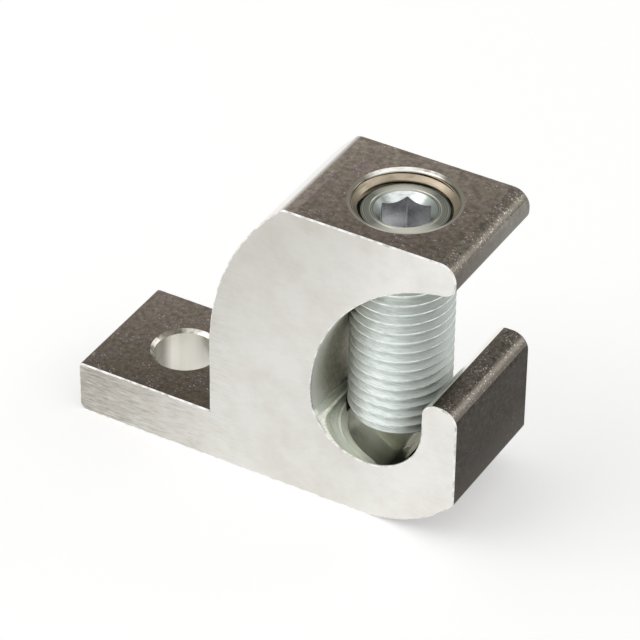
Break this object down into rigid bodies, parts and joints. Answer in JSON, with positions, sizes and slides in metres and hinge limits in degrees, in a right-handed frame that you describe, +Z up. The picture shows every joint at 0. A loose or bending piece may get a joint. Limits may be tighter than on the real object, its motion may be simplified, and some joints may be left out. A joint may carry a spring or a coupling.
{
  "type": "lay-in ground clamp",
  "caption": "Lay-in ground lug: extruded body with a bolt hole in its foot, an open saddle for the wire and a socket set screw that clamps down through the top plate.",
  "frame": {"origin": "middle of the footprint, on the flat surface that the foot stands on", "axes": "+X runs along the foot from its bolt hole towards the open side, +Y is the way the section was extruded, +Z is up along the set screw"},
  "size_m": [0.058, 0.0202, 0.0443],
  "materials": {
    "tin_plated_aluminium": "bright tin plate, satin on the sawn side faces",
    "zinc_plated_steel": "bright zinc plate, lightly worn"
  },
  "bodies": {
    "body": {"lug_body": "tin_plated_aluminium"},
    "screw": {"set_screw": "zinc_plated_steel"}
  },
  "joints": [
    {"name": "screw_travel", "type": "slide", "parent": "body", "child": "screw", "axis": [0, 0, 1], "range_m": [0, 0.0225]}
  ]
}
